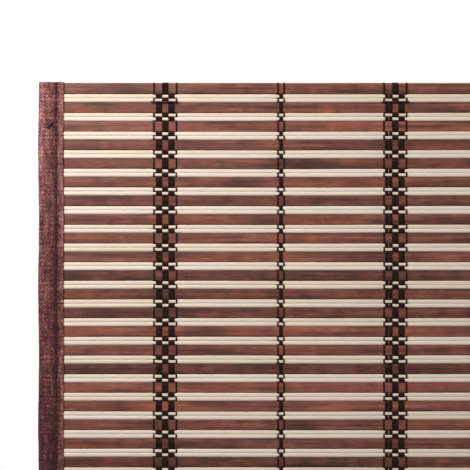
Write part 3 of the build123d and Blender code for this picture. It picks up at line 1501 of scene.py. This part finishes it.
            # Painted shade in the seam's groove.
            fade -= fade_and_shading.seam_groove_shade * hump(inset - self.seam, fade_and_shading.seam_run)
        else:
            # Paler towards the hem's edge: wear and a painted highlight on the raised hem.
            fade = fade_and_shading.at_hem + fade_and_shading.rise * (inset - self.seam) / (self.width - self.seam)
            # Painted shade in the seam's groove, on the hem's side.
            fade -= fade_and_shading.hem_groove_shade * hump(inset - self.seam, fade_and_shading.hem_run)
        # Darker round the snag: the torn place and a painted shadow under its lifted fibres.
        if self.snag:
            away = math.hypot(inset - self.snag.inset, drop - self.snag.drop)
            fade -= fade_and_shading.torn_and_shadow * hump(away, self.snag.spread)
        # Painted shade along the creases.
        crease_shade = level.crease_shade * (fade_and_shading.crease_shade + fade_and_shading.crease_shade_spread.at(drop, inset))
        # Less the painted falloff of light lower down, with random clouds of fading, less painted shade
        # where it sinks and in creases.
        return fade - fade_and_shading.low * low + fade_and_shading.cloud.at(inset, drop) - fade_and_shading.sunk * level.sunk - crease_shade

    def place(self, inset: float, out: float, height: float, sunk: float) -> Vector:
        """The point of the tape at one place of its section and one height."""
        lies_flat = abs(out) > self.half_depth / 2
        lift = math.copysign(self.relief(inset, height, sunk), out) if lies_flat else 0.0
        turn = math.tau * (self.top - height) / self.wave_length + self.wave_start * (self.side + 1)
        sway = self.edge_wave * (math.cos(turn) + self.edge_wobble.at(height, self.side))
        shift = inset + sway * (1 - 0.5 * min(1.0, inset / self.width))
        return Vector((self.edge - self.side * shift, self.middle - (out - lift), height))

    def build(self, weave: Weave) -> list[bpy.types.Object]:
        """Fold the tape and sew it.

        Args:
            weave: The rows that it lies on.

        Returns:
            The tape, its stitches and its lifted fibres.
        """
        columns, levels = self.columns(), self.levels(weave)
        across, down = len(columns) - 1, len(levels) - 1
        run = [0.0]
        for (a, b, _), (c, d, _) in zip(columns, columns[1:]):
            run.append(run[-1] + math.hypot(c - a, d - b))
        made = bmesh.new()
        uv = made.loops.layers.uv.new("UVMap")
        bmesh.ops.create_grid(made, x_segments=across, y_segments=down, size=0.5, calc_uvs=True)
        fade = made.verts.layers.float.new("fade")
        flat = {}
        for vert in made.verts:
            column = round((vert.co.x + 0.5) * across)
            (inset, out, shows), row = columns[column], levels[round((0.5 - vert.co.y) * down)]
            vert[fade] = self.fade(inset, row, shows)
            flat[vert.index] = (run[column], -row.height)
            vert.co = self.place(inset, out, row.height, row.sunk)
        for face in made.faces:
            for loop in face.loops:
                loop[uv].uv = flat[loop.vert.index]
        tape = finish_piece(made, f"{self.node}_tape", TAPE_FINISH, Slot.CLOTH, (self.node,))
        thick = tape.modifiers.new("cloth", "SOLIDIFY")
        thick.thickness = self.ply
        thick.offset = -1.0
        trims = [self.sew()]
        if self.snag:
            trims.append(self.snag.build(self))
        flat = (run[-1], self.top - self.bottom)
        LOG.info("%s: cut %.1f mm wide", tape.name, run[-1] / MM)
        return [tape, *trims]

    def sew(self) -> bpy.types.Object:
        """The stitches of the seam, on the front and on the back.

        Returns:
            One piece with all the stitches.
        """
        rng = random.Random(self.seed + self.side)
        stitches = []
        for index in range(int((self.top - self.bottom) / self.stitch_pitch)):
            height = self.top - (index + 0.5) * self.stitch_pitch
            for front in (1, -1):
                off = rng.uniform(-self.stitch_stray, self.stitch_stray) * MM
                stitches.append((self.stitch(height, front, off), rng.random()))
        made = Tube("stitch_template", self.stitch_sides, self.stitch_steps).copies(stitches)
        return finish_piece(made, f"{self.node}_stitches", SEAM_FINISH, Slot.WARP)

    def stitch(self, height: float, front: int, off: float) -> Place:
        """Where the points of one stitch go.

        Args:
            height: The middle of the stitch.
            front: 1 on the front and -1 on the back.
            off: How far it stands off the seam's line.

        Returns:
            The placing function.
        """
        level = self.half_depth - self.groove * self.stitch_sunk - self.sink * self.stitch_sink

        def place(angle: float, step: int) -> Vector:
            """One point of a short arc that dives at both ends."""
            along = step / self.stitch_steps * 2 - 1
            dive = self.stitch_dive * along ** 4
            radius = self.stitch_radius * (1 - self.stitch_taper * along ** 4)
            x = self.edge - self.side * (self.seam + off + self.stitch_flatness * radius * math.cos(angle))
            y = self.middle - front * (level - dive + radius * math.sin(angle))
            return Vector((x, y, height - along * self.stitch_length / 2))

        return place


@dataclass
class Staples:
    """The staples of one batten: flat wire with rounded shoulders, in place of the frame's plain ones."""

    node: str
    wire: float = 0.7 * MM
    crown: float = 14.0 * MM
    corner: float = 1.0 * MM
    squareness: float = 3.0
    tone: float = 0.5
    sides: int = 8
    corner_steps: int = 4

    def build(self, weave: Weave) -> bpy.types.Object:
        """Bend every staple.

        Args:
            weave: The warps that they straddle.

        Returns:
            One piece with all the staples.
        """
        low, high = corners(self.node)
        route = self.route(high.y - low.y)
        height = (low.z + high.z) / 2
        wide = [warp for warp in weave.warps if weave.is_wide(warp)]
        tube = Tube("staple_template", self.sides, len(route) - 1)
        made = tube.copies((self.bend(route, warp.middle, low.y, height), self.tone) for warp in wide)
        return finish_piece(made, f"{self.node}_wire", STAPLE_FINISH, Slot.STAPLE, (self.node,))

    def route(self, leg: float) -> list[tuple[float, float]]:
        """The middle line of one staple.

        Args:
            leg: The depth of its legs.

        Returns:
            Places across it and distances behind its crown's face, from one point to the other.
        """
        half = self.wire / 2
        reach = self.crown / 2 - half
        steps = [(-reach, leg)]
        for index in range(self.corner_steps + 1):
            turn = QUARTER_TURN * index / self.corner_steps
            x, y = (self.corner * (1 - share) for share in (math.cos(turn), math.sin(turn)))
            steps.append((x - reach, half + y))
        return steps + [(-x, y) for x, y in reversed(steps)]

    def bend(self, route: list[tuple[float, float]], x: float, front: float, z: float) -> Place:
        """Where the points of one staple go.

        Args:
            route: Its middle line.
            x: The middle of its crown.
            front: The depth of its crown's face.
            z: Its height.

        Returns:
            The placing function.
        """
        half = self.wire / 2

        def place(angle: float, step: int) -> Vector:
            """One point round the wire."""
            along, back = heading(route, step)
            out = Vector((back, -along, 0.0))
            middle = Vector((x + route[step][0], front + route[step][1], z))
            tall = half * bulge(math.sin(angle), self.squareness)
            return middle + out * (half * bulge(math.cos(angle), self.squareness)) + Vector((0, 0, tall))

        return place


@dataclass
class PulleyScrews:
    """The round-headed wood screws that hold the pulley frames up to the head batten."""

    frames: tuple[str, ...] = ("pulley_frame_left", "pulley_frame_right")
    hole_pitch: float = 24.0 * MM
    plate: float = 1.1 * MM
    head_radius: float = 2.6 * MM
    head_height: float = 1.5 * MM
    head_edge: float = 0.25 * MM
    slot_width: float = 0.6 * MM
    slot_depth: float = 0.7 * MM
    first_turn: float = 0.5
    frame_turn: float = 1.1
    side_turn: float = 0.7
    spin_steps: int = 28
    dome_steps: int = 6

    def seats(self) -> list[tuple[float, float, float, float]]:
        """Where the heads sit.

        Returns:
            The middle of the face that each is screwed against, and the turn of its slot.
        """
        found = []
        for number, node in enumerate(self.frames):
            low, high = corners(node)
            for side in (-1, 1):
                x = (low.x + high.x) / 2 + side * self.hole_pitch / 2
                turn = self.first_turn + self.frame_turn * number + self.side_turn * side
                found.append((x, (low.y + high.y) / 2, high.z - self.plate, turn))
        return found

    def build(self) -> bpy.types.Object:
        """Turn a head for each hole and slot it.

        Returns:
            One piece with all the heads.
        """
        made = bmesh.new()
        for *seat, _ in self.seats():
            self.turn_head(made, Vector(seat))
        piece = finish_piece(made, "pulley_screws", ZINC_FINISH, Slot.STEEL)
        return self.cut_slots(piece)

    def turn_head(self, made: bmesh.types.BMesh, seat: Vector) -> None:
        """Spin one domed head that hangs from its seat.

        Args:
            made: The mesh that it is added to.
            seat: The middle of the face that it is screwed against.
        """
        line = [made.verts.new(seat)]
        for index in range(self.dome_steps + 1):
            turn = QUARTER_TURN * index / self.dome_steps
            out = self.head_radius * math.cos(turn)
            down = self.head_edge + (self.head_height - self.head_edge) * math.sin(turn)
            line.append(made.verts.new(seat + Vector((out, 0, -down))))
        line.insert(1, made.verts.new(seat + Vector((self.head_radius, 0, 0))))
        edges = [made.edges.new(pair) for pair in zip(line, line[1:])]
        bmesh.ops.spin(
            made, geom=line + edges, cent=seat, axis=(0, 0, 1), angle=math.tau, steps=self.spin_steps,
            use_merge=True,
        )
        bmesh.ops.remove_doubles(made, verts=made.verts, dist=WELD)

    def cut_slots(self, piece: bpy.types.Object) -> bpy.types.Object:
        """Cut a driver's slot across every head.

        Args:
            piece: The heads.

        Returns:
            The same piece.
        """
        cutter = bmesh.new()
        size = Matrix.Diagonal((3 * self.head_radius, self.slot_width, 2 * self.slot_depth, 1.0))
        for x, y, z, angle in self.seats():
            spot = Matrix.Translation((x, y, z - self.head_height))
            bmesh.ops.create_cube(cutter, size=1.0, matrix=spot @ Matrix.Rotation(angle, 4, "Z") @ size)
        tool = put("slot_cutter", settle(cutter, "slot_cutter"))
        cut = piece.modifiers.new("slots", "BOOLEAN")
        cut.object = tool
        cut.solver = "EXACT"
        bpy.context.view_layer.update()
        shaped = bpy.data.meshes.new_from_object(piece.evaluated_get(bpy.context.evaluated_depsgraph_get()))
        piece.modifiers.clear()
        piece.data = shaped
        bpy.data.objects.remove(tool)
        return piece


def dress(node: str, finish: Finish) -> None:
    """Give a CAD node its finish.

    Args:
        node: The node's name.
        finish: The finish that every slot of it takes.
    """
    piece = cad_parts[node]
    piece.data.materials.clear()
    piece.data.materials.append(finish.material())
    LOG.info("%s: %s", node, finish.title)


@dataclass(frozen=True)
class Lamp:
    """A soft square light: where it hangs, what it points at, the length of its side and its watts."""

    title: str
    place: tuple[float, float, float]
    aim: tuple[float, float, float]
    size: float
    watts: float

    def hang(self) -> None:
        """Put it in the scene, out of the camera's sight."""
        data = bpy.data.lights.new(self.title, "AREA")
        data.size = self.size
        data.energy = self.watts
        piece = put(self.title, data)
        piece.location = self.place
        piece.rotation_euler = (Vector(self.aim) - Vector(self.place)).to_track_quat("-Z", "Y").to_euler()
        piece.visible_camera = False


@dataclass
class Studio:
    """The pale floor, the soft light and the camera, straight on to the upper left of the mat."""

    photo_pixels: float = 470.0
    pixel: float = 0.51 * MM
    left_edge_pixel: float = 38.35
    first_reeds_pixel: float = 94.35
    lens: float = 85.0
    sensor: float = 36.0
    clip_start: float = 0.01
    floor_drop: float = 0.06
    floor_size: float = 5.6
    floor_white: tuple[float, float] = (0.8, 2.5)
    floor_grey: Colour = screen(232, 232, 234)
    floor_far: Colour = screen(0, 0, 0)
    floor_glow: float = 0.6
    lamps: tuple[Lamp, ...] = (
        Lamp("key_light", (-0.45, -0.38, 0.19), (-0.18, -0.02, -0.07), 0.24, 2.5),
        Lamp("low_light", (0.55, -1.0, -0.65), (0.1, 0.0, -0.55), 0.8, 1.8),
        Lamp("back_light", (0.5, 1.2, 0.5), (0.0, 0.0, -0.35), 0.9, 17.0),
    )
    fill_strength: float = 0.27

    def build(self, weave: Weave) -> None:
        """Set the stage.

        Args:
            weave: The rows, which say where the first reeds are.
        """
        bpy.context.scene.view_settings.view_transform = "Standard"
        self.camera(weave)
        for lamp in self.lamps:
            lamp.hang()
        self.floor()
        self.world()

    def camera(self, weave: Weave) -> None:
        """Put the camera where the photograph's framing has it."""
        half = self.photo_pixels / 2
        x = CAD_BOX[0][0] + (half - self.left_edge_pixel) * self.pixel
        z = weave.top - weave.slat_width - weave.row_gap - (half - self.first_reeds_pixel) * self.pixel
        data = bpy.data.cameras.new("photo_camera")
        data.lens = self.lens
        data.sensor_width = self.sensor
        data.clip_start = self.clip_start
        piece = put("photo_camera", data)
        distance = self.photo_pixels * self.pixel * self.lens / self.sensor
        piece.location = (x, weave.middle - weave.slat_thickness / 2 - distance, z)
        piece.rotation_euler = (QUARTER_TURN, 0.0, 0.0)
        bpy.context.scene.camera = piece

    def floor(self) -> None:
        """The pale floor below the blind."""
        made = bmesh.new()
        level = Matrix.Translation((0, 0, CAD_BOX[0][2] - self.floor_drop))
        bmesh.ops.create_grid(made, x_segments=1, y_segments=1, size=self.floor_size / 2, matrix=level)
        piece = put("floor", settle(made, "floor"))
        material = bpy.data.materials.new("pale_floor")
        material.use_nodes = True
        graph = Graph(material.node_tree)
        away = graph.node("ShaderNodeVectorMath", {0: graph.place()}, operation="LENGTH").outputs["Value"]
        white = graph.remap(away, *self.floor_white)
        seen = graph.node("ShaderNodeLightPath").outputs["Is Camera Ray"]
        graph.feed(material.node_tree.nodes["Principled BSDF"], {
            "Base Color": graph.mix(white, self.floor_grey, self.floor_far),
            "Roughness": 0.7,
            "Specular IOR Level": 0.1,
            "Emission Color": WHITE,
            "Emission Strength": graph.times(seen, graph.remap(white, 0.0, 1.0, self.floor_glow, 1.0)),
        })
        piece.data.materials.append(material)

    def world(self) -> None:
        """White where the camera and the gloss look past the blind, and a plain soft fill elsewhere."""
        world = bpy.data.worlds.new("studio")
        world.use_nodes = True
        bpy.context.scene.world = world
        graph = Graph(world.node_tree)
        light = graph.node("ShaderNodeLightPath")
        seen = graph.math("MAXIMUM", light.outputs["Is Camera Ray"], light.outputs["Is Glossy Ray"])
        seen = graph.math("MAXIMUM", seen, light.outputs["Is Transmission Ray"])
        graph.feed(world.node_tree.nodes["Background"], {
            "Color": WHITE,
            "Strength": graph.remap(seen, 0.0, 1.0, self.fill_strength, 1.0),
        })


def main() -> None:
    """Build the blind and report each piece."""
    logging.basicConfig(level=logging.INFO, format="%(name)s %(message)s")
    weave = Weave()
    Studio().build(weave)
    Slats().build(weave)
    Reeds().build(weave)
    Warps().build(weave)
    EdgeBinding(-1, "edge_binding_left", Snag()).build(weave)
    EdgeBinding(1, "edge_binding_right").build(weave)
    for node in ("head_staples", "foot_staples"):
        Staples(node).build(weave)
    for node in ("head_batten", "foot_batten"):
        dress(node, TIMBER_FINISH)
    for node in ("pulley_frame_left", "pulley_frame_right", "pulley_pin_left", "pulley_pin_right"):
        dress(node, ZINC_FINISH)
    for node in ("pulley_wheel_left", "pulley_wheel_right_front", "pulley_wheel_right_back"):
        dress(node, BRASS_FINISH)
    PulleyScrews().build()


if __name__ == "__main__":
    main()
